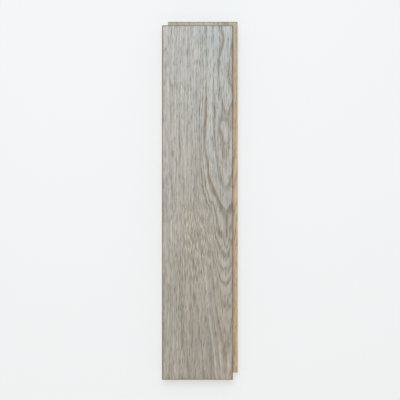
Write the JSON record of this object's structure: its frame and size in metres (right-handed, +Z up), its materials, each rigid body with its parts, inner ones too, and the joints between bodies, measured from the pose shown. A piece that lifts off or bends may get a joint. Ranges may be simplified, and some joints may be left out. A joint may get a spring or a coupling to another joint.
{
  "type": "parquet block",
  "caption": "Oak parquet block for herringbone floors: bevelled wear face, tongues on one side and end, grooves on the other side and end.",
  "frame": {"origin": "middle of the underside of the face's outline, on the surface that the block lies on", "axes": "+X across the block towards the side tongue, +Y along the grain towards the end tongue, +Z up to the wear face"},
  "size_m": [0.075, 0.355, 0.022],
  "materials": {
    "oak": "grey-washed matt oiled wear face, bare machined edges and underside"
  },
  "bodies": {
    "root": {"parquet_block": "oak"}
  },
  "joints": []
}
